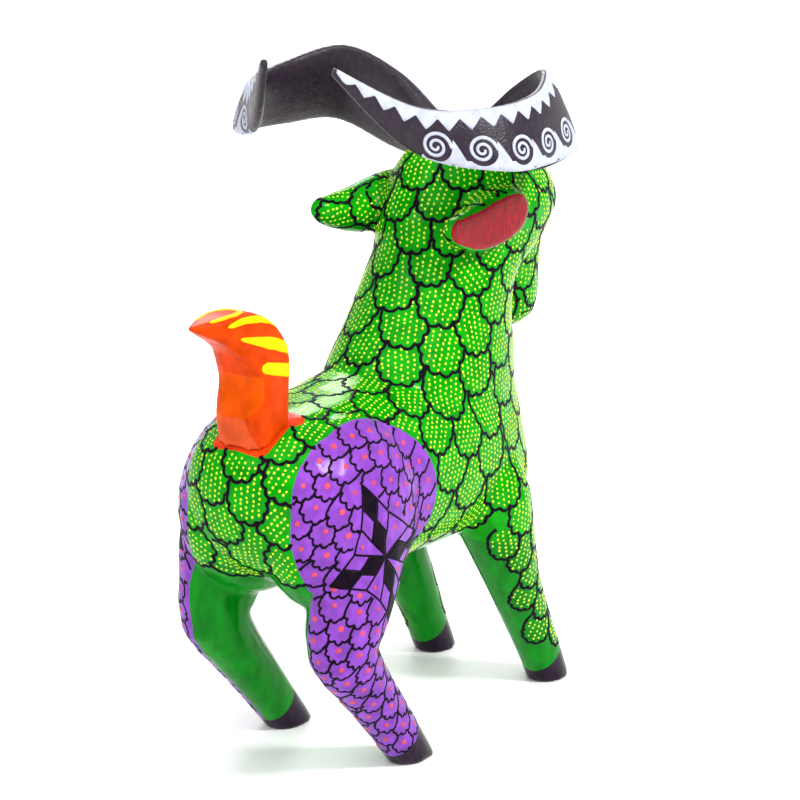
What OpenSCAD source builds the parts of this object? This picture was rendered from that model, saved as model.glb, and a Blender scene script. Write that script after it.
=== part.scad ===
// Carved and painted wooden horned goat (alebrije).
// It stands on four hooves. Two curled horns and the tail plug into the body on round pegs.
// Figure's left is +X, its right -X, its rear +Y, its face looks along -Y, and up is +Z.
// The origin is on the table, under the middle of the whole figure.

/* [Stance] */
// Distance between the left and the right hooves
hoof_track = 46; // [43:0.5:49]
// Distance between the front and the hind hooves
hoof_base = 80; // [76:1:84]

/* [Body] */
// Width of the trunk between the flanks
trunk_width = 60; // [56:1:64]
// Width across both haunches
haunch_width = 70; // [67:1:73]
// Width of the neck
neck_width = 44; // [40:1:47]
// Width of the head at the eyes
head_width = 48; // [46:1:51]
// Width of the muzzle
muzzle_width = 21; // [18:1:24]
// Length of an ear from its root in the head to its tip
ear_length = 38.5; // [36:0.5:42]
// Height of an ear
ear_height = 15.5; // [13:0.5:18]

/* [Horns] */
// Widest distance between the two horns
horn_spread = 106; // [98:1:112]
// Thickness of the curled horn band
horn_thickness = 4.6; // [3.5:0.1:6]
// Gap left open between the two horn roots
horn_root_gap = 2; // [1:0.5:4]

/* [Tail] */
// Width of the tail
tail_width = 19; // [16:0.5:21]
// Depth of the tail from front to rear
tail_depth = 15; // [13:0.5:17]

/* [Pegs] */
// Diameter of a horn peg
horn_peg_d = 5; // [4:0.5:6]
// Length of a horn peg inside the head
horn_peg_in = 16; // [12:1:20]
// Diameter of the tail peg
tail_peg_d = 8; // [6:0.5:9]
// Length of the tail peg inside the body
tail_peg_in = 16; // [12:1:20]
// Radial clearance of a peg in its socket
peg_clearance = 0.06; // [0.03:0.01:0.1]
// Gap between a plugged-in piece and the body around it
seam_gap = 0.35; // [0.3:0.05:0.5]

/* [Hidden] */

down = [0, 0, -1];
rearward = [0, 1, 0];

half_track = hoof_track / 2;
half_base = hoof_base / 2;
half_trunk = trunk_width / 2;
half_neck = neck_width / 2;
half_head = head_width / 2;
half_muzzle = muzzle_width / 2;

green = [0.06, 0.55, 0.08];
aubergine = [0.15, 0.09, 0.13];
orange = [0.95, 0.30, 0.05];
raw_wood = [0.78, 0.62, 0.42];

// Lumps are laid out from a point on the table midway between the four hooves.
// Every carved lump is a chain of stations [x, y, z, half width, half depth].
// The half width lies along X and the half depth across the chain.

// Crown, skull, neck and chest, from the top down.
neck_stations = [
    [0, -19, 184.5, 3, 5],
    [0, -19, 182, 8, 13],
    [0, -20.5, 177, 15, 22],
    [0, -24.5, 170, half_head * 0.86, 29.5],
    [0, -25, 160, half_head, 35.5],
    [0, -21, 150, half_neck + 1, 34],
    [0, -10, 140, half_neck + 0.5, 27.5],
    [0, -3.5, 127, half_neck + 1.5, 31],
    [0, 0.5, 116, half_neck + 3, 36.5],
    [0, 4, 104, half_neck + 4, 41],
    [0, 0, 88, half_neck + 6, 40],
    [0, -6, 73, half_neck + 6, 35],
    [0, -11, 62, half_neck, 24],
    [0, -12, 56, half_neck / 2, 12],
];

neck_steps = 36;
neck_sides = 32;

// Muzzle, from inside the skull down to the lips.
muzzle_stations = [
    [0, -34, 162, half_muzzle + 5, 14],
    [0, -40, 152, half_muzzle + 4.5, 18.5],
    [0, -44.5, 142, half_muzzle + 1.5, 15.5],
    [0, -46.5, 133, half_muzzle - 0.5, 13],
    [0, -47.5, 125, half_muzzle - 1, 11.8],
    [0, -48.5, 119, half_muzzle - 2.5, 9.5],
    [0, -49, 115.5, half_muzzle - 7, 4],
];

// Trunk, from the chest back to the rump.
trunk_stations = [
    [0, -36, 78, 8, 14],
    [0, -28, 80, 19, 21],
    [0, -12, 84, half_trunk - 3, 27],
    [0, 10, 88, half_trunk, 31],
    [0, 30, 88, half_trunk, 30],
    [0, 48, 87, half_trunk, 29],
    [0, 64, 87.5, half_trunk, 28.5],
    [0, 78, 89.7, half_trunk - 1, 26.2],
    [0, 88, 91, half_trunk - 6, 21],
    [0, 94, 92.6, half_trunk - 13, 15.2],
    [0, 97, 93.4, 9, 8],
    [0, 98.2, 93.7, 1.5, 1.5],
];

// One front leg, from inside the shoulder to below the sole.
front_leg_stations = [
    [14, -4, 94, 8, 11],
    [half_track - 3, -7, 73, 12.5, 14.5],
    [half_track - 1.5, -11, 60, 11.5, 12.5],
    [half_track - 1, -18.5, 42, 9, 9.4],
    [half_track - 1, -27, 26, 7.7, 8],
    [half_track - 0.5, -35, 11, 7, 7.2],
    [half_track - 0.5, -half_base, 1, 6.8, 7],
    [half_track - 0.5, -half_base - 2, -4, 6.8, 7],
];

// One hind leg, from inside the haunch over the hock to below the sole.
hind_leg_stations = [
    [20, 62, 92, 12, 22],
    [half_track, 68, 72, 13, 19],
    [half_track + 1, 72, 58, 11.5, 15],
    [half_track + 1, 75, 47, 10.5, 11.5],
    [half_track + 1, 68, 36, 9, 9.3],
    [half_track + 1, 59, 25, 8, 8.2],
    [half_track + 1, 49.5, 13, 7.2, 7.4],
    [half_track + 0.7, half_base + 1, 2, 6.8, 7],
    [half_track + 0.6, half_base - 3, -4, 6.8, 7],
];

// One ear, from its root in the head back to its tip.
ear_root_y = -16;
ear_stations = [
    [16, ear_root_y - 5, 161.5, 5, ear_height * 0.33],
    [19.5, ear_root_y, 161.5, 8.4, ear_height * 0.53],
    [20.8, ear_root_y + ear_length * 0.28, 160.5, 8.5, ear_height * 0.56],
    [22.6, ear_root_y + ear_length * 0.55, 160, 7, ear_height * 0.48],
    [24.3, ear_root_y + ear_length * 0.82, 161.4, 4.9, ear_height * 0.33],
    [25.3, ear_root_y + ear_length * 0.95, 162.8, 3.4, ear_height * 0.22],
    [26, ear_root_y + ear_length, 163.6, 1.2, 1.2],
];
// The lateral side of each ear is shaved flat.
ear_face_x = 25.5;

// One curled horn band, from its root on the crown out, forward, round and back to its tip:
// the top edge, the bottom edge and the thickness. The band spreads from x = 1 to its widest.
horn_reach = (horn_spread / 2 - horn_root_gap / 2) / 52;
horn_stations = [
    [0, -18, 183, 0, -23, 172, horn_thickness * 2.1],
    [8, -18, 189, 9, -24.5, 171, horn_thickness * 2.1],
    [20.5, -17, 200, 27.5, -25, 174, horn_thickness * 1.5],
    [35.5, -9.5, 208, 44, -16.5, 182.5, horn_thickness * 1.1],
    [44.5, 8, 204.8, 49.5, 5, 183.5, horn_thickness],
    [42, 27, 203, 48.5, 29, 185, horn_thickness],
    [28.5, 45, 204.5, 27.5, 46, 191, horn_thickness * 0.9],
    [11.5, 62, 216.5, 11, 62.5, 214, horn_thickness * 0.5],
];

// The tail, from inside the rump up and over to the tip of its hook.
tail_y = 85.5;
tail_half_w = tail_width / 2;
tail_half_d = tail_depth / 2;
tail_stations = [
    [0, tail_y, 96, tail_half_w - 0.4, tail_half_d],
    [0, tail_y, 108, tail_half_w - 0.4, tail_half_d],
    [0, tail_y + 0.2, 118, tail_half_w, tail_half_d + 0.6],
    [0, tail_y - 0.8, 127, tail_half_w, tail_half_d],
    [0, tail_y, 135, tail_half_w, tail_half_d + 0.8],
    [0, tail_y + 5, 142, tail_half_w - 0.8, tail_half_d - 0.2],
    [0, tail_y + 13, 145.6, tail_half_w - 2.5, tail_half_d - 2.5],
    [0, tail_y + 20, 147.3, tail_half_w - 5, tail_half_d - 4.5],
    [0, tail_y + 27.5, 148.8, 0.8, 0.5],
];

tail_steps = 24;
tail_sides = 12;
tail_squareness = 0.5;

horn_peg_x = 11;
horn_peg_y = -21;
horn_peg_top = 187;
horn_peg_bottom = 178 - horn_peg_in;
tail_peg_top = 120;
tail_peg_bottom = 110 - tail_peg_in;
socket_floor_gap = 1;

// ---------- smooth chains ----------

function spline(a, b, c, d, t) =
    0.5 * (2 * b + (c - a) * t + (2 * a - 5 * b + 4 * c - d) * t * t + (3 * b - a - 3 * c + d) * t * t * t);

// The station at t, from 0 at the first to 1 at the last.
function station(rows, t) =
    let (last = len(rows) - 1, i = min(floor(t * last), last - 1))
    spline(rows[max(i - 1, 0)], rows[i], rows[i + 1], rows[min(i + 2, last)], t * last - i);

function unit(v) = v / norm(v);

function place(row) = [row[0], row[1], row[2]];

function signed_power(v, p) = sign(v) * pow(abs(v), p);

function heading(rows, t) =
    unit(place(station(rows, min(t + 0.01, 1))) - place(station(rows, max(t - 0.01, 0))));

// One ring of a chain, square to its heading unless it is aimed another way.
// Squareness 1 is an ellipse, and less is boxier.
function ring(rows, t, sides, squareness, grow, aim) =
    let (
        row = station(rows, t),
        ahead = is_undef(aim) ? heading(rows, t) : aim,
        across = unit(cross(ahead, [1, 0, 0])),
        sideways = unit(cross(across, ahead))
    )
    [for (k = [0:sides - 1])
        let (angle = 360 * (k + 0.5) / sides)
        place(row)
            + sideways * (row[3] + grow) * signed_power(cos(angle), squareness)
            + across * (row[4] + grow) * signed_power(sin(angle), squareness)];

// Triangles between the rings of a chain, and a flat cap on each end.
function skin_faces(steps, sides) = concat(
    [[for (k = [0:sides - 1]) k]],
    [for (i = [0:steps - 1], k = [0:sides - 1], half = [0, 1])
        let (
            next = (k + 1) % sides,
            low = i * sides,
            high = low + sides
        )
        half == 0 ? [low + k, high + k, low + next] : [high + k, high + next, low + next]],
    [[for (k = [sides - 1:-1:0]) steps * sides + k]]
);

module skin(rings) {
    sides = len(rings[0]);
    polyhedron(points = [for (r = rings, p = r) p], faces = skin_faces(len(rings) - 1, sides), convexity = 6);
}

module chain(rows, steps = 20, sides = 24, squareness = 1, grow = 0, aim = undef) {
    skin([for (i = [0:steps]) ring(rows, i / steps, sides, squareness, grow, aim)]);
}

// The figure reaches from its forehead to the tip of its tail, and stands centred on that.
forehead_y = min([for (i = [0:neck_steps], p = ring(neck_stations, i / neck_steps, neck_sides, 1, 0, down)) p[1]]);
tail_tip_y = max([for (i = [0:tail_steps], p = ring(tail_stations, i / tail_steps, tail_sides, tail_squareness, 0)) p[1]]);
middle_y = (forehead_y + tail_tip_y) / 2;

module centred() {
    translate([0, -middle_y, 0]) children();
}

module both_sides() {
    children();
    mirror([1, 0, 0]) children();
}

// ---------- body ----------

module haunch(grow = 0) {
    haunch_centre = [haunch_width / 2 - 20, 64, 84];
    haunch_radii = [20, 30, 30];
    rings = 14;
    chain([for (i = [0:rings])
        let (angle = 5 + 170 * i / rings)
        [
            haunch_centre[0], haunch_centre[1], haunch_centre[2] + haunch_radii[2] * cos(angle),
            haunch_radii[0] * sin(angle), haunch_radii[1] * sin(angle)
        ]
    ], steps = rings, sides = 24, grow = grow, aim = down);
}

module trunk(grow = 0) {
    chain(trunk_stations, steps = 28, sides = 32, squareness = 0.88, grow = grow, aim = rearward);
}

module rump(grow = 0) {
    trunk(grow);
    both_sides() haunch(grow);
}

module ear() {
    difference() {
        chain(ear_stations, steps = 18, sides = 16);
        translate([ear_face_x, ear_root_y, 140]) rotate([0, 0, -1.5]) translate([0, -10, 0]) cube([20, 80, 40]);
    }
}

module head_and_neck(grow = 0) {
    chain(neck_stations, steps = neck_steps, sides = neck_sides, grow = grow, aim = down);
}

module carved_block() {
    // Zeros keep every size: the lumps become one block before it is bored.
    resize([0, 0, 0]) union() {
        head_and_neck();
        chain(muzzle_stations, steps = 14, sides = 20);
        rump();
        both_sides() {
            chain(front_leg_stations, steps = 16, sides = 16);
            chain(hind_leg_stations, steps = 18, sides = 16);
            ear();
        }
    }
}

module horn_socket() {
    translate([horn_peg_x, horn_peg_y, horn_peg_bottom - socket_floor_gap])
        cylinder(h = 60, r = horn_peg_d / 2 + peg_clearance, $fn = 48);
}

module tail_socket() {
    translate([0, tail_y, tail_peg_bottom - socket_floor_gap])
        cylinder(h = 60, r = tail_peg_d / 2 + peg_clearance, $fn = 48);
}

module ground_cut() {
    translate([-60, -80, -20]) cube([120, 180, 20]);
}

module body() {
    color(green) centred() difference() {
        carved_block();
        ground_cut();
        both_sides() horn_socket();
        tail_socket();
    }
}

// ---------- horns ----------

// One ring of the horn band at t, spread out from the root.
function horn_ring(t, sides) =
    let (
        row = station(horn_stations, t),
        ahead = station(horn_stations, min(t + 0.01, 1)),
        behind = station(horn_stations, max(t - 0.01, 0)),
        top = [row[0], row[1], row[2]],
        bottom = [row[3], row[4], row[5]],
        along = [ahead[0] + ahead[3], ahead[1] + ahead[4], ahead[2] + ahead[5]]
            - [behind[0] + behind[3], behind[1] + behind[4], behind[2] + behind[5]],
        upward = (top - bottom) / 2,
        outward = unit(cross(along, upward)) * row[6] / 2
    )
    [for (k = [0:sides - 1])
        let (
            angle = 360 * (k + 0.5) / sides,
            p = (top + bottom) / 2
                + upward * signed_power(cos(angle), 0.75)
                + outward * signed_power(sin(angle), 0.75)
        )
        [horn_root_gap / 2 + p[0] * horn_reach, p[1], p[2]]];

module horn_band() {
    steps = 44;
    skin([for (i = [0:steps]) horn_ring(i / steps, 16)]);
}

module horn() {
    difference() {
        resize([0, 0, 0]) difference() {
            horn_band();
            head_and_neck(grow = seam_gap);
        }
        translate([horn_peg_x, horn_peg_y, horn_peg_bottom])
            cylinder(h = horn_peg_top - horn_peg_bottom, r = horn_peg_d / 2, $fn = 48);
        // The root ends in a flat face, clear of the other horn.
        translate([horn_root_gap / 2 - 20, -60, 150]) cube([20, 80, 60]);
    }
}

module horn_peg() {
    translate([horn_peg_x, horn_peg_y, horn_peg_bottom])
        cylinder(h = horn_peg_top - horn_peg_bottom, r = horn_peg_d / 2, $fn = 48);
}

module left_horn() {
    color(aubergine) centred() horn();
}

module right_horn() {
    color(aubergine) centred() mirror([1, 0, 0]) horn();
}

module left_horn_peg() {
    color(raw_wood) centred() horn_peg();
}

module right_horn_peg() {
    color(raw_wood) centred() mirror([1, 0, 0]) horn_peg();
}

// ---------- tail ----------

module tail() {
    color(orange) centred() difference() {
        // The foot is hollowed to the shape of the rump it stands on.
        resize([0, 0, 0]) difference() {
            chain(tail_stations, steps = tail_steps, sides = tail_sides, squareness = tail_squareness);
            rump(grow = seam_gap);
        }
        translate([0, tail_y, tail_peg_bottom])
            cylinder(h = tail_peg_top - tail_peg_bottom, r = tail_peg_d / 2, $fn = 48);
    }
}

module tail_peg() {
    color(raw_wood) centred() translate([0, tail_y, tail_peg_bottom])
        cylinder(h = tail_peg_top - tail_peg_bottom, r = tail_peg_d / 2, $fn = 48);
}

body();
right_horn();
right_horn_peg();
left_horn();
left_horn_peg();
tail();
tail_peg();
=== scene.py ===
"""Looks of the carved and painted horned goat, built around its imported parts.

The wooden parts get a softened, hand-carved skin. The painting lies on it as thin raised paint:
lobed scales with rows of dots, a star on each haunch, scrolls and zigzags on the horns.
"""

import heapq
import math
import random

import bmesh
import bpy
import numpy as np
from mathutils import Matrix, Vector, noise
from mathutils.bvhtree import BVHTree
from mathutils.kdtree import KDTree


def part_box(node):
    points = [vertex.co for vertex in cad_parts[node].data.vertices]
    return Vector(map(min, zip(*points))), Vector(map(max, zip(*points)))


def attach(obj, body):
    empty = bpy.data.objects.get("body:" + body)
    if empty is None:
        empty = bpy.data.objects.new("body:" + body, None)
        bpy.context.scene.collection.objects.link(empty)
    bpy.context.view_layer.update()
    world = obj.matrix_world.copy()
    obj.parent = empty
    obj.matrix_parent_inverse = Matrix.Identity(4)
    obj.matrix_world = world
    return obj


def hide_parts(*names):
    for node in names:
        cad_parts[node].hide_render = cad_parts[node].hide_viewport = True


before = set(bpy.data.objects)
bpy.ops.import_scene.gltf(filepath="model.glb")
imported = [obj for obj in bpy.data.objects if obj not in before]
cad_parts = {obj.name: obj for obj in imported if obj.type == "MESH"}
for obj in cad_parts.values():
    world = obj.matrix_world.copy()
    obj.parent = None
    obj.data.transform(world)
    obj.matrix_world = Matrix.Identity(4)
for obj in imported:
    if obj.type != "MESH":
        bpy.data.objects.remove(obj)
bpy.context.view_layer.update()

MM = 0.001

# Landmarks are in millimetres from the point on the table midway between the four hooves,
# as in the part's source: X to the figure's left, Y to its rear, Z up.
HORN_PEG_Y = -21
peg_low, peg_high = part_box("left_horn_peg")
STANCE = np.array([0, HORN_PEG_Y * MM - (peg_low.y + peg_high.y) / 2, 0])

CROWN = (0, -19, 184)
FRONT_LEG_Z = (1, 11, 26, 42, 60, 73)
FRONT_LEG_Y = (-40, -35, -27, -18.5, -11, -7)
FRONT_LEG_X = (22.5, 22.5, 22, 22, 21.5, 20)
HIND_LEG_Z = (2, 13, 25, 36, 47, 58, 72)
HIND_LEG_Y = (41, 49.5, 59, 68, 75, 72, 68)
HIND_LEG_X = (23.7, 24, 24, 24, 24, 24, 23)
HAUNCH_CENTRE = (66, 87)
HAUNCH_RADII = (31, 26.5)
STAR_CENTRE = (35, 69, 76)
EYE_CENTRE = (18, -50, 159)
TAIL_Y = 85.5
TAIL_SIZE = (19, 15)

# How far the painted side of each leg reaches round from straight out to the side towards the
# rear, in degrees, at heights in millimetres. The right leg's is -1 and the left leg's is 1.
PURPLE_Z = (50, 60, 67)
PURPLE_TO_REAR = {-1: (118, 108, 94), 1: (88, 86, 94)}
SCALES_TO_REAR = {-1: 48, 1: 34}


def to_scene(point):
    """A landmark in millimetres as a point of the scene."""
    return Vector((point[0] * MM, point[1] * MM - STANCE[1], point[2] * MM))


# ---------- paints ----------


def linear(colour):
    """A colour of 0 to 255 per channel as the shader takes it."""
    return tuple(((c / 255 + 0.055) / 1.055) ** 2.4 if c > 10 else c / 255 / 12.92 for c in colour) + (1,)


class Paint:
    """A node-based paint with a satin shine."""

    def __init__(self, name, roughness=0.3, shine=0.3):
        self.material = bpy.data.materials.new(name)
        self.material.use_nodes = True
        self.nodes = self.material.node_tree.nodes
        self.links = self.material.node_tree.links
        self.shader = self.nodes["Principled BSDF"]
        self.shader.inputs["Roughness"].default_value = roughness
        self.shader.inputs["Specular IOR Level"].default_value = shine
        self.shader.inputs["IOR"].default_value = 1.15
        self.place = self.nodes.new("ShaderNodeTexCoord").outputs["Object"]

    def grain(self, scale, detail=3, stretch=(1, 1, 1)):
        """Noise through the wood, with its grain lengthened along an axis."""
        mapping = self.nodes.new("ShaderNodeMapping")
        mapping.inputs["Scale"].default_value = stretch
        self.links.new(self.place, mapping.inputs["Vector"])
        texture = self.nodes.new("ShaderNodeTexNoise")
        texture.inputs["Scale"].default_value = scale
        texture.inputs["Detail"].default_value = detail
        self.links.new(mapping.outputs["Vector"], texture.inputs["Vector"])
        return texture.outputs["Fac"]

    def blend(self, factor, first, second):
        """First where factor is 0 and second where it is 1; each is a colour or a node's output."""
        mix = self.nodes.new("ShaderNodeMix")
        mix.data_type = "RGBA"
        self.links.new(factor, mix.inputs["Factor"])
        for socket, value in ((mix.inputs["A"], first), (mix.inputs["B"], second)):
            if isinstance(value, tuple):
                socket.default_value = value
            else:
                self.links.new(value, socket)
        return mix.outputs["Result"]

    def brushed(self, colour, scale=180, spread=0.16, stretch=(1, 1, 1)):
        """A colour laid on by brush, a little lighter and darker from stroke to stroke."""
        dark = linear([c * (1 - spread) for c in colour])
        light = linear([min(255, c * (1 + spread * 0.7) + 4) for c in colour])
        ramp = self.nodes.new("ShaderNodeMapRange")
        ramp.inputs["From Min"].default_value = 0.32
        ramp.inputs["From Max"].default_value = 0.68
        self.links.new(self.grain(scale, 4, stretch), ramp.inputs["Value"])
        return self.blend(ramp.outputs["Result"], dark, light)

    def inside(self, area, wobble=0.0):
        """1 inside a painted area of the skin and 0 outside, with a hand-drawn edge."""
        depth = self.nodes.new("ShaderNodeAttribute")
        depth.attribute_name = area
        value = depth.outputs["Fac"]
        if wobble:
            shake = self.nodes.new("ShaderNodeMath")
            shake.operation = "MULTIPLY_ADD"
            self.links.new(self.grain(260, 2), shake.inputs[0])
            shake.inputs[1].default_value = wobble
            self.links.new(value, shake.inputs[2])
            value = shake.outputs["Value"]
        above = self.nodes.new("ShaderNodeMath")
        above.operation = "GREATER_THAN"
        above.inputs[1].default_value = wobble / 2
        self.links.new(value, above.inputs[0])
        return above.outputs["Value"]

    def raise_by(self, height, strength, distance):
        """Fine relief from a height output."""
        bump = self.nodes.new("ShaderNodeBump")
        bump.inputs["Strength"].default_value = strength
        bump.inputs["Distance"].default_value = distance * MM
        self.links.new(height, bump.inputs["Height"])
        earlier = self.shader.inputs["Normal"].links
        if earlier:
            self.links.new(earlier[0].from_socket, bump.inputs["Normal"])
        self.links.new(bump.outputs["Normal"], self.shader.inputs["Normal"])

    def gloss(self, low, high, scale=90):
        """Roughness that changes softly over the skin."""
        ramp = self.nodes.new("ShaderNodeMapRange")
        ramp.inputs["To Min"].default_value = low
        ramp.inputs["To Max"].default_value = high
        self.links.new(self.grain(scale, 2), ramp.inputs["Value"])
        self.links.new(ramp.outputs["Result"], self.shader.inputs["Roughness"])

    def colour(self, output):
        self.links.new(output, self.shader.inputs["Base Color"])
        return self


def simple_paint(name, colour, roughness=0.34, shine=0.22, spread=0.14, scale=400):
    """One colour of paint with brush marks."""
    paint = Paint(name, roughness, shine)
    paint.colour(paint.brushed(colour, scale, spread))
    paint.raise_by(paint.grain(900, 3), 0.25, 0.12)
    return paint.material


def make_body_paint():
    """Green scales, plain green legs, purple haunches, dark hooves, crimson ears, an orange splash."""
    paint = Paint("body_paint", 0.2, 0.8)
    look = paint.brushed((4, 141, 3), 220, 0.12)
    look = paint.blend(paint.inside("plain"), look, paint.brushed((2, 121, 16), 260, 0.12, (1, 1, 0.3)))
    look = paint.blend(paint.inside("purple", 0.5), look, paint.brushed((124, 62, 170), 240, 0.1))
    look = paint.blend(paint.inside("hoof", 0.7), look, paint.brushed((32, 16, 36), 500, 0.22, (1, 1, 0.3)))
    crimson = paint.brushed((132, 0, 16), 1300, 0.18, (1, 1, 0.3))
    look = paint.blend(paint.inside("ear_face", 0.2), look, crimson)
    look = paint.blend(paint.inside("splash", 0.8), look, paint.brushed((212, 54, 4), 300, 0.1))
    paint.colour(look)
    paint.gloss(0.12, 0.26)
    paint.raise_by(paint.grain(70, 2), 0.5, 0.5)
    paint.raise_by(paint.grain(1100, 4, (1, 1, 0.35)), 0.25, 0.1)
    return paint.material


def make_horn_paint():
    """Near-black paint with a fine hammered sheen."""
    paint = Paint("horn_paint", 0.34, 0.5)
    paint.shader.inputs["IOR"].default_value = 1.4
    paint.colour(paint.brushed((32, 19, 34), 600, 0.3))
    paint.gloss(0.26, 0.44, 300)
    paint.raise_by(paint.grain(80, 2), 0.4, 0.5)
    paint.raise_by(paint.grain(1500, 3), 0.9, 0.25)
    return paint.material


def make_tail_paint():
    """Orange-red, with painted light on the rear-facing facets: a lighter orange highlight on the upper rear
    facet and a paler salmon foot facet.
    """
    paint = Paint("tail_paint", 0.3, 0.3)
    look = paint.brushed((200, 58, 2), 200, 0.1)
    # Painted highlight: the rear-facing upper facet is painted a lighter orange where light falls on it.
    look = paint.blend(paint.inside("painted_highlight_facet", 1.2), look, paint.brushed((212, 75, 0), 200, 0.08))
    # Painted light: the rear-facing foot facet is painted a paler salmon where light falls on it.
    look = paint.blend(paint.inside("painted_light_foot_facet", 0.6), look, paint.brushed((207, 78, 36), 200, 0.08))
    paint.colour(look)
    paint.raise_by(paint.grain(90, 2), 0.4, 0.5)
    paint.raise_by(paint.grain(900, 3), 0.2, 0.1)
    return paint.material


def make_peg_wood():
    """Bare, turned softwood."""
    paint = Paint("peg_wood", 0.62, 0.0)
    paint.colour(paint.brushed((206, 168, 116), 420, 0.2, (1, 1, 0.08)))
    paint.raise_by(paint.grain(900, 4, (1, 1, 0.06)), 0.4, 0.2)
    return paint.material


# ---------- pieces ----------


def finish_piece(piece, body, material, stands_for=None):
    """Paints a piece, smooths its shading and lets it ride on its body."""
    piece.data.materials.clear()
    piece.data.materials.append(material)
    piece.data.polygons.foreach_set("use_smooth", [True] * len(piece.data.polygons))
    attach(piece, body)
    if stands_for:
        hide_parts(stands_for)
    return piece


def mesh_piece(name, points, faces):
    mesh = bpy.data.meshes.new(name)
    mesh.from_pydata([tuple(p) for p in points], [], faces)
    mesh.update()
    piece = bpy.data.objects.new(name, mesh)
    bpy.context.scene.collection.objects.link(piece)
    return piece


def carved_skin(name, node, voxel, softening):
    """A closed skin over one wooden part, its creases softened as by sanding and paint."""
    piece = bpy.data.objects.new(name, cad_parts[node].data.copy())
    bpy.context.scene.collection.objects.link(piece)
    even = piece.modifiers.new("even", "REMESH")
    even.mode = "VOXEL"
    even.voxel_size = voxel * MM
    soft = piece.modifiers.new("soft", "SMOOTH")
    soft.factor = 0.5
    soft.iterations = softening
    graph = bpy.context.evaluated_depsgraph_get()
    shaped = bpy.data.meshes.new_from_object(piece.evaluated_get(graph))
    piece.modifiers.clear()
    piece.data = shaped
    return piece


class Skin:
    """A piece's surface, with what painting on it needs."""

    def __init__(self, piece):
        mesh = piece.data
        self.piece = piece
        self.count = len(mesh.vertices)
        self.points = np.empty(self.count * 3)
        mesh.vertices.foreach_get("co", self.points)
        self.points = self.points.reshape(-1, 3)
        self.normals = np.empty(self.count * 3)
        mesh.vertex_normals.foreach_get("vector", self.normals)
        self.normals = self.normals.reshape(-1, 3)
        self.mm = (self.points + STANCE) / MM
        self.faces = [tuple(p.vertices) for p in mesh.polygons]
        self.tree = BVHTree.FromPolygons([Vector(p) for p in self.points], self.faces)
        self.near = KDTree(self.count)
        for i, point in enumerate(self.points):
            self.near.insert(point, i)
        self.near.balance()
        self.pairs = self.neighbours()

    def neighbours(self):
        """Every two vertices that share a face, once."""
        found = set()
        for face in self.faces:
            for i, a in enumerate(face):
                for b in face[i + 1:]:
                    found.add((a, b) if a < b else (b, a))
        return np.array(sorted(found))

    def spread(self, values, rounds):
        """Values averaged with those around them, several times over."""
        a, b = self.pairs.T
        share = 1 + np.bincount(a, minlength=self.count) + np.bincount(b, minlength=self.count)
        columns = values.reshape(self.count, -1).copy()
        for _ in range(rounds):
            for k in range(columns.shape[1]):
                column = columns[:, k]
                total = np.bincount(a, column[b], self.count) + np.bincount(b, column[a], self.count)
                columns[:, k] = (column + total) / share
        return columns.reshape(values.shape)

    def distance_from(self, start):
        """How far each vertex is from a point, over the surface."""
        steps = np.linalg.norm(self.points[self.pairs[:, 0]] - self.points[self.pairs[:, 1]], axis=1)
        links = [[] for _ in range(self.count)]
        for (a, b), step in zip(self.pairs.tolist(), steps.tolist()):
            links[a].append((b, step))
            links[b].append((a, step))
        reached = [math.inf] * self.count
        first = self.near.find(start)[1]
        reached[first] = 0.0
        queue = [(0.0, first)]
        while queue:
            so_far, here = heapq.heappop(queue)
            if so_far > reached[here]:
                continue
            for there, step in links[here]:
                if so_far + step < reached[there]:
                    reached[there] = so_far + step
                    heapq.heappush(queue, (so_far + step, there))
        reached = np.array(reached)
        reached[np.isinf(reached)] = reached[np.isfinite(reached)].max()
        return reached

    def slope(self, values):
        """The direction along the surface in which values grow, at each vertex."""
        a, b = self.pairs.T
        step = self.points[b] - self.points[a]
        pull = step * ((values[b] - values[a]) / (step ** 2).sum(1))[:, None]
        total = np.stack([np.bincount(a, pull[:, k], self.count) + np.bincount(b, pull[:, k], self.count)
                          for k in range(3)], 1)
        total = self.spread(total, 16)
        total -= self.normals * (total * self.normals).sum(1)[:, None]
        return total / np.maximum(np.linalg.norm(total, axis=1), 1e-9)[:, None]

    def keep(self, name, values):
        """Stores values on the piece, for its paint to read."""
        layer = self.piece.data.attributes.new(name, "FLOAT", "POINT")
        layer.data.foreach_set("value", values.astype(np.float32))

    def settle(self, points, lift=0.0):
        """Points brought onto the surface and then lifted, with the surface's directions there."""
        placed, facing = [], []
        for point in points:
            near, normal, _, _ = self.tree.find_nearest(Vector(point))
            placed.append(near + normal * lift)
            facing.append(normal)
        return np.array(placed), np.array(facing)


# ---------- thin raised paint ----------


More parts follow.
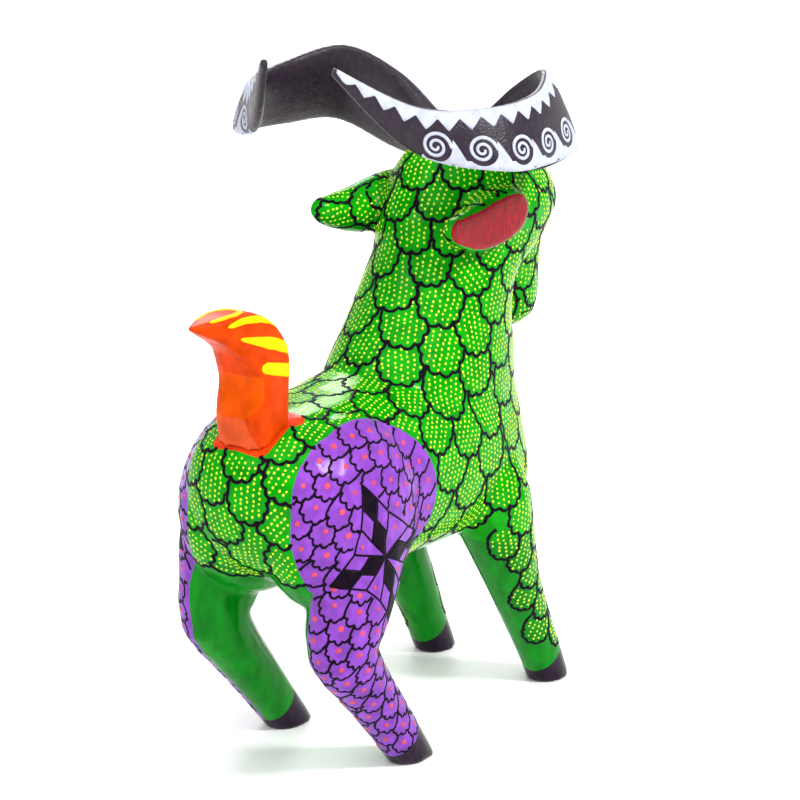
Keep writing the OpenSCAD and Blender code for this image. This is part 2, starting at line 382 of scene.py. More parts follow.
class PaintMesh:
    """Closed strokes, patches and dots of thick paint, gathered into one mesh."""

    def __init__(self):
        self.points = []
        self.faces = []

    def add(self, points, faces):
        start = len(self.points)
        self.points.extend(points)
        self.faces.extend([tuple(start + k for k in face) for face in faces])

    def stroke(self, path, facing, widths, height):
        """A brush stroke along a path on the surface, rounded over its width."""
        path = np.asarray(path)
        if len(path) < 2:
            return
        along = np.gradient(path, axis=0)
        along /= np.maximum(np.linalg.norm(along, axis=1), 1e-12)[:, None]
        sideways = np.cross(facing, along)
        half = np.asarray(widths)[:, None] / 2
        section = ((-1, -0.9), (-0.72, 0.9), (0.72, 0.9), (1, -0.9))
        rings = np.stack([path + sideways * half * u + facing * height * v for u, v in section], 1)
        faces = []
        for i in range(len(path) - 1):
            for k in range(4):
                n = (k + 1) % 4
                faces.append((4 * i + k, 4 * i + n, 4 * i + 4 + n, 4 * i + 4 + k))
        last = 4 * (len(path) - 1)
        faces.append((3, 2, 1, 0))
        faces.append((last, last + 1, last + 2, last + 3))
        self.add(rings.reshape(-1, 3), faces)

    def dot(self, centre, facing, along, radius, length, height):
        """A small dome of paint, a little longer one way."""
        sideways = np.cross(facing, along)
        ring = []
        for lift, share in ((-0.6, 1.0), (0.75, 0.72)):
            for k in range(6):
                turn = math.pi * k / 3
                ring.append(centre + along * (math.cos(turn) * length * share)
                            + sideways * (math.sin(turn) * radius * share) + facing * (height * lift))
        faces = [(k, (k + 1) % 6, 6 + (k + 1) % 6, 6 + k) for k in range(6)]
        self.add(ring, faces + [(5, 4, 3, 2, 1, 0), (6, 7, 8, 9, 10, 11)])

    def patch(self, skin, one_edge, other_edge, across, height):
        """A flat patch of paint between two edges, laid on the skin."""
        one_edge, other_edge = np.asarray(one_edge), np.asarray(other_edge)
        rows = len(one_edge)
        shares = np.linspace(0, 1, across + 1)[None, :, None]
        grid = one_edge[:, None] * (1 - shares) + other_edge[:, None] * shares
        placed, facing = skin.settle(grid.reshape(-1, 3))
        top = placed + facing * height
        bottom = placed - facing * height
        wide = across + 1
        size = rows * wide
        faces = []
        for i in range(rows - 1):
            for k in range(across):
                a = i * wide + k
                faces.append((a, a + 1, a + 1 + wide, a + wide))
                faces.append((size + a, size + a + wide, size + a + 1 + wide, size + a + 1))
        rim = [k for k in range(wide)]
        rim += [i * wide + across for i in range(1, rows)]
        rim += [(rows - 1) * wide + k for k in range(across - 1, -1, -1)]
        rim += [i * wide for i in range(rows - 2, 0, -1)]
        for a, b in zip(rim, rim[1:] + rim[:1]):
            faces.append((b, a, size + a, size + b))
        self.add(np.concatenate([top, bottom]), faces)

    def ribbon(self, skin, path, widths, across, height):
        """A wide stroke that follows the skin over its whole width."""
        path, facing = skin.settle(path)
        sideways = np.cross(facing, np.gradient(path, axis=0))
        sideways /= np.linalg.norm(sideways, axis=1)[:, None]
        half = np.asarray(widths)[:, None] / 2
        self.patch(skin, path + sideways * half, path - sideways * half, across, height)

    def piece(self, name, body, slot, material):
        made = mesh_piece(name, self.points, self.faces)
        shape = bmesh.new()
        shape.from_mesh(made.data)
        bmesh.ops.recalc_face_normals(shape, faces=shape.faces)
        shape.to_mesh(made.data)
        shape.free()
        return finish_piece(made, body, material)


# ---------- painted areas of the body ----------


def leg_angle(mm, leg_z, leg_y, leg_x):
    """Angle round a leg in degrees: 0 straight out to the side, 90 to the rear, -90 to the front."""
    side = np.sign(mm[:, 0])
    back = mm[:, 1] - np.interp(mm[:, 2], leg_z, leg_y)
    out = side * mm[:, 0] - np.interp(mm[:, 2], leg_z, leg_x)
    return np.degrees(np.arctan2(back, out)), np.hypot(back, out)


def by_side(mm, values):
    """The right or the left side's value at each point."""
    return np.where(mm[:, 0] < 0, values[-1], values[1])


def purple_to_rear(mm):
    """How far round a hind leg the purple reaches at each point, in degrees."""
    reach = {side: np.interp(mm[:, 2], PURPLE_Z, PURPLE_TO_REAR[side]) for side in (-1, 1)}
    return by_side(mm, reach)


def purple_depth(mm):
    """Depth inside the purple haunch and outer hind leg, in millimetres, and below 0 outside."""
    out = np.abs(mm[:, 0])
    y, z = mm[:, 1], mm[:, 2]
    egg = 1 - np.hypot((y - HAUNCH_CENTRE[0]) / HAUNCH_RADII[0], (z - HAUNCH_CENTRE[1]) / HAUNCH_RADII[1])
    egg = np.minimum(egg * 26, out - 19 - 0.15 * np.clip(84 - z, 0, 14))
    angle, radius = leg_angle(mm, HIND_LEG_Z, HIND_LEG_Y, HIND_LEG_X)
    to_edge = np.minimum(angle + 100, purple_to_rear(mm) - angle) * 0.14
    leg = np.minimum(np.minimum(to_edge, 76 - z), np.minimum(22 - radius, y - 34))
    return np.maximum(egg, leg)


def hoof_depth(mm):
    """Height below the slanted upper edge of a hoof, in millimetres."""
    hind = np.interp(mm[:, 2], HIND_LEG_Z, HIND_LEG_Y)
    front = np.interp(mm[:, 2], FRONT_LEG_Z, FRONT_LEG_Y)
    middle = np.where(mm[:, 1] > 10, hind, front)
    return 9.5 - mm[:, 2] - 0.62 * (mm[:, 1] - middle)


def ear_face_depth(mm):
    """Depth inside the crimson outer face of an ear, in millimetres."""
    face = np.abs(mm[:, 0]) - (25.1 + 0.026 * (mm[:, 1] + 16))
    return np.where(np.abs(mm[:, 2] - 159) < 16, face, -5)


def splash_depth(mm):
    """Depth inside the orange round the foot of the tail, which spills over at its right front."""
    corner = 3
    gap = np.hypot(np.maximum(np.abs(mm[:, 0]) - TAIL_SIZE[0] / 2 + corner, 0),
                   np.maximum(np.abs(mm[:, 1] - TAIL_Y) - TAIL_SIZE[1] / 2 + corner, 0)) - corner
    spill = 4.2 - np.hypot(mm[:, 0] + 7.5, mm[:, 1] - TAIL_Y + 8)
    return np.where(mm[:, 2] > 95, np.maximum(0.5 - gap, spill), -5)


def bears_scales(mm, normals):
    """Where scales start: all but the belly, the inner sides of the legs and the other colours."""
    z = mm[:, 2]
    rump = mm[:, 1] > 55
    trunk = np.where(rump, z > 70, z > 64) & (normals[:, 2] > np.where(rump, -0.8, -0.62))
    trunk &= ~((mm[:, 1] > 40) & ~rump & (z < 72))
    angle, radius = leg_angle(mm, FRONT_LEG_Z, FRONT_LEG_Y, FRONT_LEG_X)
    leg = (z <= 64) & (z > 13.2) & (mm[:, 1] < 12) & (angle < by_side(mm, SCALES_TO_REAR)) & (angle > -110)
    leg &= np.abs(mm[:, 0]) > 12
    free = (purple_depth(mm) < -1) & (ear_face_depth(mm) < -0.8) & (splash_depth(mm) < 0)
    return (trunk | leg) & free


def plain_depth(mm, normals):
    """Above 0 on the belly and the inner sides of the legs, which are plain green."""
    low = np.where(mm[:, 1] > 40, 71, 60)
    return low - mm[:, 2] - 4 * np.maximum(normals[:, 2] + 0.6, -0.4)


def scale_size(mm):
    """Width of a green scale and how far down it reaches from its centre, in millimetres."""
    x, y, z = abs(mm[0]), mm[1], mm[2]
    size = 13.2
    if z > 148:
        size = 11.2
    if z > 146 and x > 20 and y > -16:
        size = 11.0
    if y < -34 and z < 152:
        size = 9.0
    if z < 66 and y < 12:
        size = 9.2
    if z > 95 and y > 25:
        size = 11.8
    return size, size * 0.74


def purple_scale_size(mm):
    size = 7.2 if mm[2] > 60 else 6.3
    return size, size * 0.94


# ---------- scales ----------


class Chart:
    """The surface round one point, reached by walking straight out from it in every direction."""

    RAYS = np.radians(np.arange(-180, 181, 9))
    STEPS = 8

    def __init__(self, centre, facing, down, limit):
        self.centre = np.array(centre)
        self.facing = np.array(facing)
        down = np.array(down) - self.facing * (np.array(down) @ self.facing)
        self.down = down / np.linalg.norm(down)
        self.across = np.cross(self.facing, self.down)
        self.limit = limit

    def walk(self, tree):
        """Finds the points and directions along every ray."""
        self.step = self.limit / self.STEPS
        self.rays = np.empty((len(self.RAYS), self.STEPS + 1, 3))
        self.ray_facing = np.empty_like(self.rays)
        for i, angle in enumerate(self.RAYS):
            heading = Vector(self.down * math.cos(angle) + self.across * math.sin(angle))
            point, normal = Vector(self.centre), Vector(self.facing)
            self.rays[i, 0], self.ray_facing[i, 0] = point, normal
            for k in range(1, self.STEPS + 1):
                near, normal, _, _ = tree.find_nearest(point + heading * self.step)
                moved = near - point
                heading = (moved - normal * moved.dot(normal)).normalized()
                point = near
                self.rays[i, k], self.ray_facing[i, k] = point, normal

    def at(self, angle, distance):
        """Points on the surface at angles from straight down and distances, with directions."""
        row = np.clip((angle - self.RAYS[0]) / (self.RAYS[1] - self.RAYS[0]), 0, len(self.RAYS) - 1.001)
        column = np.clip(distance / self.step, 0, self.STEPS - 0.001)
        i, k = row.astype(int), column.astype(int)
        u, v = (row - i)[:, None], (column - k)[:, None]
        found = []
        for table in (self.rays, self.ray_facing):
            near = table[i, k] * (1 - v) + table[i, k + 1] * v
            far = table[i + 1, k] * (1 - v) + table[i + 1, k + 1] * v
            found.append(near * (1 - u) + far * u)
        found[1] /= np.linalg.norm(found[1], axis=1)[:, None]
        return found

    def place(self, across, down):
        """Points on the surface at distances across and down from the centre."""
        across, down = np.asarray(across, float), np.asarray(down, float)
        return self.at(np.arctan2(across, down), np.hypot(across, down))

    def locate(self, points, facing):
        """Angle from straight down and distance of points, and whether they face this way."""
        gap = points - self.centre
        turn = np.clip(facing @ self.facing, -1, 1)
        bend = np.maximum(np.arccos(turn) / 2, 1e-3)
        distance = np.linalg.norm(gap, axis=1) * bend / np.sin(bend)
        return np.arctan2(gap @ self.across, gap @ self.down), distance, turn > -0.2


class Scale(Chart):
    """One painted scale: where it starts, how it lies and its lobed edge."""

    def __init__(self, centre, facing, down, width, reach, lobes, chance):
        self.half_width = width * 0.6 * MM * chance.uniform(0.96, 1.05)
        self.reach = reach * MM * chance.uniform(0.95, 1.08)
        self.lobe_depth, self.lobed_to = lobes
        self.lobe_angle = math.radians(chance.uniform(23, 31))
        self.lobe_phase = chance.uniform(0, math.pi)
        super().__init__(centre, facing, down, max(self.half_width, self.reach) * 1.1)

    def edge(self, angle):
        """Distance from the centre to the edge, for angles measured from straight down."""
        n = 2.5
        c, s = np.abs(np.cos(angle)), np.abs(np.sin(angle))
        smooth = ((s / self.half_width) ** n + (c / self.reach) ** n) ** (-1 / n)
        lobe = np.abs(np.sin(math.pi / self.lobe_angle * angle + self.lobe_phase)) ** 0.7
        free_end = np.clip((self.lobed_to - np.abs(angle)) / 0.4, 0, 1)
        return smooth * (1 - self.lobe_depth * free_end * (1 - lobe))

    def depth(self, points, facing):
        """How far inside the scale points are, in metres; below 0 outside."""
        angle, distance, near = self.locate(points, facing)
        return np.where(near, self.edge(angle) - distance, -1.0)


def lay_scales(skin, order, down, allowed, size_of, lobes, chance):
    """Scales in rows over the allowed vertices, each nestling below those laid before it."""
    taken = ~allowed
    scales = []
    for i in np.argsort(order):
        if taken[i]:
            continue
        width, reach = size_of(skin.mm[i])
        scale = Scale(skin.points[i], skin.normals[i], down[i], width, reach, lobes, chance)
        scales.append(scale)
        around = [k for _, k, _ in skin.near.find_range(Vector(scale.centre), width * 1.1 * MM)]
        gap = skin.points[around] - scale.centre
        near = (gap @ scale.across) ** 2 + (gap @ scale.down) ** 2 < (width * MM) ** 2
        facing = skin.normals[around] @ scale.facing > -0.2
        taken[np.array(around)[near & facing]] = True
    for scale in scales:
        scale.walk(skin.tree)
    return scales


def covered_by(scales, index):
    """The scales laid earlier that can lie over a scale."""
    scale = scales[index]
    return [s for s in scales[:index]
            if np.linalg.norm(s.centre - scale.centre) < s.limit + scale.limit]


def runs(flags):
    """Start and end of each stretch of true flags."""
    edges = np.flatnonzero(np.diff(np.concatenate([[False], flags, [False]]).astype(int)))
    return list(zip(edges[::2], edges[1::2]))


OUTLINE_ANGLES = np.radians(np.arange(-160, 161, 2.5))


def draw_outlines(scales, mesh, allowed, width, height):
    """The visible edge of every scale as a black brush line."""
    for index, scale in enumerate(scales):
        path, facing = scale.at(OUTLINE_ANGLES, scale.edge(OUTLINE_ANGLES))
        seen = allowed(path, facing)
        for other in covered_by(scales, index):
            seen &= other.depth(path, facing) < 0.0001
        for start, end in runs(seen):
            start, end = max(start - 1, 0), min(end + 1, len(path))
            if end - start < 7:
                continue
            length = end - start
            sway = np.array([noise.noise(Vector((index * 3.7, k * 0.35, 0))) for k in range(length)])
            ends = np.minimum(np.arange(length), np.arange(length)[::-1])
            widths = width * MM * (1 + 0.35 * sway) * (1 + 0.45 * np.exp(-ends / 2.5))
            mesh.stroke(path[start:end], facing[start:end], widths, height * MM)


def draw_dots(scales, meshes, allowed, chance):
    """Columns of small yellow dots inside each green scale."""
    across_gap, along_gap = 1.95 * MM, 1.62 * MM
    for index, scale in enumerate(scales):
        lean = chance.uniform(-0.2, 0.2)
        c, s = math.cos(lean), math.sin(lean)
        columns = int(scale.half_width / across_gap) + 2
        rows = int(scale.limit / along_gap) + 2
        spots = []
        for i in range(-columns, columns + 1):
            for k in range(-rows, rows + 1):
                u = (i + chance.uniform(-0.13, 0.13)) * across_gap
                v = (k + 0.5 * (i % 2) + chance.uniform(-0.15, 0.15)) * along_gap
                spots.append((u * c - v * s, u * s + v * c))
        spots = np.array(spots)
        angle = np.arctan2(spots[:, 0], spots[:, 1])
        distance = np.hypot(spots[:, 0], spots[:, 1])
        inside = scale.edge(angle) - distance > 1.05 * MM
        angle, distance = angle[inside], distance[inside]
        if len(angle) == 0:
            continue
        centres, facing = scale.at(angle, distance)
        seen = allowed(centres, facing)
        for other in covered_by(scales, index):
            seen &= other.depth(centres, facing) < -0.82 * MM
        for centre, normal in zip(centres[seen], facing[seen]):
            along = scale.down - normal * (scale.down @ normal)
            along /= np.linalg.norm(along)
            radius = chance.uniform(0.4, 0.5) * MM
            mesh = meshes[0] if centre[2] > 118 * MM else meshes[1]
            mesh.dot(centre, normal, along, radius, radius * chance.uniform(1.0, 1.3), 0.13 * MM)


def draw_scale_spots(scales, mesh, allowed, chance):
    """One coral spot on each purple scale."""
    for index, scale in enumerate(scales):
        centre, facing = scale.at(np.array([0.0]), np.array([scale.reach * chance.uniform(0.15, 0.35)]))
        seen = allowed(centre, facing)
        for other in covered_by(scales, index):
            seen &= other.depth(centre, facing) < -0.5 * MM
        if not seen[0]:
            centre, facing = scale.at(np.array([0.0]), np.array([scale.reach * 0.6]))
            if not allowed(centre, facing)[0]:
                continue
        along = scale.down - facing[0] * (scale.down @ facing[0])
        along /= np.linalg.norm(along)
        radius = chance.uniform(0.85, 1.1) * MM
        mesh.dot(centre[0], facing[0], along, radius, radius * 1.15, 0.14 * MM)


# ---------- the figure's body ----------


def ream(piece, node, clearance):
    """Opens a softened peg socket again, so that its peg has room."""
    low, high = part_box(node)
    centre = np.array([(low.x + high.x) / 2, (low.y + high.y) / 2])
    radius = (high.x - low.x) / 2 + clearance * MM
    for vertex in piece.data.vertices:
        gap = np.array([vertex.co.x, vertex.co.y]) - centre
        distance = np.linalg.norm(gap)
        if 0 < distance < radius and vertex.co.z > low.z + 1.2 * MM:
            vertex.co.x, vertex.co.y = centre + gap / distance * radius


def build_body(paints):
    """The body, with its scales, dots, stars and face."""
    piece = carved_skin("painted_body", "body", 0.8, 9)
    for node in ("left_horn_peg", "right_horn_peg", "tail_peg"):
        ream(piece, node, 0.12)
    skin = Skin(piece)
    skin.keep("purple", purple_depth(skin.mm))
    skin.keep("hoof", hoof_depth(skin.mm))
    skin.keep("ear_face", ear_face_depth(skin.mm))
    skin.keep("splash", splash_depth(skin.mm))
    skin.keep("plain", plain_depth(skin.mm, skin.normals))
    finish_piece(piece, "figure", paints["body"], "body")

    chance = random.Random(7)
    order = skin.distance_from(to_scene(CROWN))
    order = skin.spread(order, 6)
    down = skin.slope(order)

    stars = [Star(skin, side) for side in (-1, 1)]
    faces = [build_eye_chart(skin, side) for side in (-1, 1)]

    def clear(depths, star_gap, eye_gap):
        def test(points, facing):
            mm = (points + STANCE) / MM
            free = np.all([depth(mm) < limit for depth, limit in depths], axis=0)
            for star in stars:
                free &= ~star.covers(points, facing, star_gap)
            for chart in faces:
                free &= np.linalg.norm(points - chart.centre, axis=1) > eye_gap * MM
            return free
        return test

    other_colours = (purple_depth, ear_face_depth, hoof_depth, splash_depth)
    green_area = clear(list(zip(other_colours, (0.1, -0.9, 0, 0.3))), 0, 4.6)
    dot_area = clear(list(zip(other_colours, (-0.7, -1.4, -0.5, -0.6))), 0, 5.4)
    green = lay_scales(skin, order, down, bears_scales(skin.mm, skin.normals), scale_size,
                       (0.13, math.radians(98)), chance)
    lines = PaintMesh()
    draw_outlines(green, lines, green_area, 1.2, 0.14)
    lines.piece("green_scale_outlines", "figure", "painted_body", paints["black"])
    dots = [PaintMesh(), PaintMesh()]
    draw_dots(green, dots, dot_area, chance)
    dots[0].piece("yellow_dots_head", "figure", "painted_body", paints["dot"])
    dots[1].piece("yellow_dots_trunk", "figure", "painted_body", paints["dot"])

    purple_area = clear([(outside_purple, -0.5), (hoof_depth, 0)], 0.3, 0)
    spot_area = clear([(outside_purple, -1.2), (hoof_depth, -1)], 1.6, 0)
    start = (purple_depth(skin.mm) > 2.2) & (hoof_depth(skin.mm) < -2)
    purple = lay_scales(skin, order, down, start, purple_scale_size, (0.2, math.radians(52)), chance)
    lines = PaintMesh()
    spots = PaintMesh()
    draw_outlines(purple, lines, purple_area, 0.86, 0.12)
    draw_scale_spots(purple, spots, spot_area, chance)
    for star in stars:
        star.draw(lines, spots)
    lines.piece("purple_scale_outlines", "figure", "painted_body", paints["black"])
    spots.piece("coral_spots", "figure", "painted_body", paints["coral"])
    draw_face(skin, faces, paints)


def outside_purple(mm):
    return -purple_depth(mm)


class Star:
    """The black star on one haunch: four arms of small diamonds round one centre."""

    # Each arm's direction in degrees from straight down, and its length in millimetres.
    ARMS = ((-13, 24), (77, 20.5), (167, 24), (272, 27))
    HALF_ARM = 5.8

    def __init__(self, skin, side):
        centre, facing = skin.settle([to_scene((side * STAR_CENTRE[0], STAR_CENTRE[1], STAR_CENTRE[2]))])
        self.skin = skin
        self.side = side
        self.chart = Chart(centre[0], facing[0], (0, 0, -1), 28 * MM)
        self.chart.walk(skin.tree)
        tips = [self.turned(turn, length, 0) for turn, length in self.ARMS]
        shoulders = [self.turned(turn, length / 2, across) for turn, length in self.ARMS
                     for across in (-self.HALF_ARM, self.HALF_ARM)]
        self.corners = np.array(tips + shoulders)

    def turned(self, turn, along, across):
        """Distances across and down from the centre, for a place along and beside one direction."""
        angle = self.side * math.radians(turn)
        c, s = math.cos(angle), math.sin(angle)
        along, across = np.asarray(along) * MM, self.side * np.asarray(across) * MM
        return along * s + across * c, along * c - across * s

    def covers(self, points, facing, gap):
        """True for points on the star, or within a gap of it in millimetres."""
        angle, distance, near = self.chart.locate(points, facing)
        across, down = self.corners.T
        closeness = np.interp(angle, np.arctan2(across, down), 1 / np.hypot(across, down), period=2 * math.pi)
        return near & (distance < 1 / closeness + gap * MM)

    def diamond(self, arm, a, b):
        """The place with shares a and b along the two sides of an arm."""
        turn, length = arm
        return self.turned(turn, (np.asarray(a) + b) * length / 2, (np.asarray(a) - b) * self.HALF_ARM)

    def line(self, mesh, across, down):
        path, facing = self.skin.settle(self.chart.place(across, down)[0])
        mesh.stroke(path, facing, np.full(len(path), 0.75 * MM), 0.14 * MM)

    def draw(self, lines, spots):
        """Arms black at the root and the tip with a purple diamond left on each side."""
        along = np.linspace(0, 1, 13)
        for arm, following in zip(self.ARMS, self.ARMS[1:] + self.ARMS[:1]):
            for low, high in ((0, 0.57), (0.43, 1)):
                cell = np.linspace(low, high, 8)
                near, _ = self.chart.place(*self.diamond(arm, cell, low))
                far, _ = self.chart.place(*self.diamond(arm, cell, high))
                lines.patch(self.skin, near, far, 6, 0.12 * MM)
            for share in (0, 1):
                self.line(lines, *self.diamond(arm, along, np.full(13, share)))
                self.line(lines, *self.diamond(arm, np.full(13, share), along))
            start = self.diamond(arm, 1, 0)
            end = self.diamond(following, 0, 1)
            self.line(lines, np.linspace(start[0], end[0], 8), np.linspace(start[1], end[1], 8))
            between = (arm[0] + following[0] + 360 * (following[0] < arm[0])) / 2
            centre, facing = self.chart.place(*[np.array([v]) for v in self.turned(between, 9.5, 0)])
            spots.dot(centre[0], facing[0], self.chart.across, 0.95 * MM, 1.05 * MM, 0.14 * MM)


# ---------- the face ----------


def build_eye_chart(skin, side):
    centre, facing = skin.settle([to_scene((side * EYE_CENTRE[0], EYE_CENTRE[1], EYE_CENTRE[2]))])
    chart = Chart(centre[0], facing[0], (0, 0, -1), 6 * MM)
    chart.walk(skin.tree)
    return chart


def draw_disc(mesh, skin, chart, half_length, half_height, height):
    """A filled oval of paint."""
    across = np.linspace(-1, 1, 17)
    rise = np.sqrt(np.maximum(1 - across ** 2, 0.002))
    top, _ = chart.place(across * half_length * MM, -rise * half_height * MM)
    low, _ = chart.place(across * half_length * MM, rise * half_height * MM)
    mesh.patch(skin, top, low, 6, height * MM)


def draw_ring(mesh, chart, half_length, half_height, width, height):
    turn = np.linspace(0, 2 * math.pi, 41)
    path, facing = chart.place(np.cos(turn) * half_length * MM, np.sin(turn) * half_height * MM)
    mesh.stroke(path, facing, np.full(41, width * MM), height * MM)


def draw_face(skin, eyes, paints):
    """Ringed eyes, each with a small white painted highlight on its pupil, small nostrils and a thin mouth
    line.
    """
    white, coral, black = PaintMesh(), PaintMesh(), PaintMesh()
    for chart in eyes:
        draw_disc(white, skin, chart, 4.4, 3.7, 0.12)
        draw_ring(black, chart, 4.4, 3.7, 0.7, 0.2)
        draw_ring(coral, chart, 3.1, 2.6, 0.8, 0.2)
        draw_disc(black, skin, chart, 1.7, 1.6, 0.2)
        # A small white dot beside the pupil's middle: a painted highlight, the glint of light on the eye.
        draw_disc(white, skin, chart_beside(skin, chart, -0.7, -0.6), 0.45, 0.4, 0.28)
    for side in (-1, 1):
        place, facing = skin.settle([to_scene((side * 4.5, -62, 122))])
        nostril = Chart(place[0], facing[0], (side * 0.5, 0, -1), 3 * MM)
        nostril.walk(skin.tree)
        draw_disc(black, skin, nostril, 0.8, 1.6, 0.14)
    turns = np.radians(np.linspace(-205, 25, 60))
    around = [to_scene((12 * math.cos(turn), -49 + 14 * math.sin(turn), 118.4 + 1.2 * math.cos(2 * turn)))
              for turn in turns]
    path, facing = skin.settle(around)
    black.stroke(path, facing, np.full(60, 0.6 * MM), 0.12 * MM)
    white.piece("eye_whites_and_glints", "figure", "painted_body", paints["white"])
    coral.piece("eye_rings", "figure", "painted_body", paints["coral"])
    black.piece("pupils_and_mouth", "figure", "painted_body", paints["black"])


def chart_beside(skin, chart, across, down):
    """A small chart beside the middle of another."""
    centre, facing = chart.place(np.array([across * MM]), np.array([down * MM]))
    beside = Chart(centre[0], facing[0], chart.down, 1.5 * MM)
    beside.walk(skin.tree)
    return beside


# ---------- the horns ----------

# Stations along a horn: the top edge, the bottom edge and the thickness, from the root to the tip.
HORN_THICKNESS = 4.6
HORN_STATIONS = np.array([
    [0, -18, 183, 0, -23, 172, HORN_THICKNESS * 2.1],
    [8, -18, 189, 9, -24.5, 171, HORN_THICKNESS * 2.1],
    [20.5, -17, 200, 27.5, -25, 174, HORN_THICKNESS * 1.5],
    [35.5, -9.5, 208, 44, -16.5, 182.5, HORN_THICKNESS * 1.1],
    [44.5, 8, 204.8, 49.5, 5, 183.5, HORN_THICKNESS],
    [42, 27, 203, 48.5, 29, 185, HORN_THICKNESS],
    [28.5, 45, 204.5, 27.5, 46, 191, HORN_THICKNESS * 0.9],
    [11.5, 62, 216.5, 11, 62.5, 214, HORN_THICKNESS * 0.5],
])


def spline(rows, t):
    """The smooth station at t, from 0 at the first to 1 at the last."""
    last = len(rows) - 1
    i = min(int(t * last), last - 1)
    a, b, c, d = rows[max(i - 1, 0)], rows[i], rows[i + 1], rows[min(i + 2, last)]
    t = t * last - i
    squared = 2 * a - 5 * b + 4 * c - d
    cubed = 3 * b - a - 3 * c + d
    return 0.5 * (2 * b + (c - a) * t + squared * t ** 2 + cubed * t ** 3)


class HornFace:
    """The outer face of one horn: millimetres along it from the root, and share down its height."""

    def __init__(self, side):
        self.side = side
        self.shares = np.linspace(0, 1, 201)
        middles = np.array([self.point(s, 0.5) for s in self.shares])
        self.lengths = np.concatenate([[0], np.cumsum(np.linalg.norm(np.diff(middles, axis=0), axis=1))]) / MM

    def height(self, length):
        row = spline(HORN_STATIONS, np.interp(length, self.lengths, self.shares))
        return np.linalg.norm(row[:3] - row[3:6])

    def point(self, share, down):
        row = spline(HORN_STATIONS, share)
        ahead = spline(HORN_STATIONS, min(share + 0.01, 1))
        behind = spline(HORN_STATIONS, max(share - 0.01, 0))
        along = ahead[:3] + ahead[3:6] - behind[:3] - behind[3:6]
        upward = (row[:3] - row[3:6]) / 2
        outward = np.cross(along, upward)
        outward *= row[6] / 2 / np.linalg.norm(outward)
        level = 1 - 2 * down
        bulge = math.sqrt(max(1 - abs(level) ** (2 / 0.75), 0)) ** 0.75
        place = (row[:3] + row[3:6]) / 2 + upward * level + outward * bulge
        return np.array(to_scene((self.side * (1 + place[0]), place[1], place[2])))

    def at(self, length, down):
        return self.point(float(np.interp(length, self.lengths, self.shares)), min(max(down, 0.0), 1.0))


def draw_zigzag(mesh, skin, face, start, end, pitch):
    """A white strip along the top edge with a row of pointed teeth hanging from it."""
    top, bottom = [], []
    for length in np.arange(start, end, pitch / 14):
        tooth = 1 - abs(2 * (((end - length) / pitch) % 1) - 1)
        deep = (2.2 + 3.6 * tooth) * min(1.0, 0.45 + (end - length) / 60)
        top.append(face.at(length, 0.02))
        bottom.append(face.at(length, 0.02 + min(deep / face.height(length), 0.6)))
    mesh.patch(skin, top, bottom, 5, 0.12 * MM)


def wave_level(length, centres, radius):
    """How far below the middle of the scrolls the white wave's upper edge lies, in radii."""
    nearest = min(centres, key=lambda c: abs(c - length))
    away = (length - nearest) / radius
    if abs(away) < 1:
        return max(math.sqrt(1 - away ** 2), 0.7 if away > 0 else 0)
    tipward = min([c for c in centres if c > length], default=None)
    rootward = max([c for c in centres if c < length], default=None)
    if tipward is None:
        return 1.2
    low = (rootward or tipward - 3 * radius) + radius
    share = (tipward - radius - length) / (tipward - radius - low)
    return -0.6 + 1.3 * share ** 1.2


def draw_scrolls(mesh, skin, face, centres, radius):
    """A running wave of white along the bottom edge, each crest curling into a spiral."""
    middle = 0.69
    crest, rim = [], []
    for length in np.arange(min(centres) - 2 * radius, max(centres) + radius * 0.8, 0.25):
        height = face.height(length)
        level = middle + wave_level(length, centres, radius) * radius / height
        crest.append(face.at(length, min(level, 0.97)))
        rim.append(face.at(length, 1.0))
    mesh.patch(skin, crest, rim, 10, 0.12 * MM)
    for centre in centres:
        height = face.height(centre)
        inner, outer = [], []
        for share in np.linspace(0, 1, 70):
            turn = share * 2.05 * 2 * math.pi
            mid = radius * (1 - 0.87 * share ** 0.72)
            half = 0.52 - 0.16 * share
            for edge, distance in ((inner, mid - half), (outer, mid + half)):
                length = centre - math.cos(turn) * distance
                edge.append(face.at(length, middle - math.sin(turn) * distance / height))
        mesh.patch(skin, inner, outer, 2, 0.12 * MM)


def build_horn(side, name, paints):
    """One horn, with a zigzag above and a row of scrolls below on its outer face."""
    body = name + "_plug"
    piece = carved_skin("painted_" + name, name, 0.5, 5)
    skin = Skin(piece)
    finish_piece(piece, body, paints["horn"], name)
    face = HornFace(side)
    mesh = PaintMesh()
    draw_zigzag(mesh, skin, face, 6, face.lengths[-1] - 1, 7.0)
    draw_scrolls(mesh, skin, face, [114 - 13.1 * k for k in range(7)], 4.6)
    mesh.piece(name + "_white_pattern", body, "painted_horn", paints["white"])


# ---------- the tail ----------

# The right half of each stripe, from its end at the rear to the front, and its width at the
# front and near the end.
TAIL_STRIPES = (
    (
        [(-8.4, 91.4, 134), (-9.4, 88, 133), (-9.4, 80.5, 130.9), (-8, 77.8, 130.2), (-2, 77, 130)],
        4.0, 3.4,
    ),
    (
        [(-6.9, 99, 143.8), (-8.3, 92, 141.8), (-9, 85.7, 139.8), (-8.3, 79.4, 137), (-2, 77.5, 136)],
        3.6, 1.0,
    ),
    (
        [(-5.4, 102.8, 147.9), (-6.5, 97, 148.7), (-7.1, 90.4, 148.2), (-7, 84.5, 145.8), (-2, 81, 143.4)],
        2.6, 1.2,
    ),
    (
        [(-2.4, 107.2, 149.8), (-3.6, 102.6, 150.2), (-3.8, 98, 150.2), (-2.8, 94, 149.8), (-1, 92.6, 149.4)],
        1.8, 1.2,
    ),
)


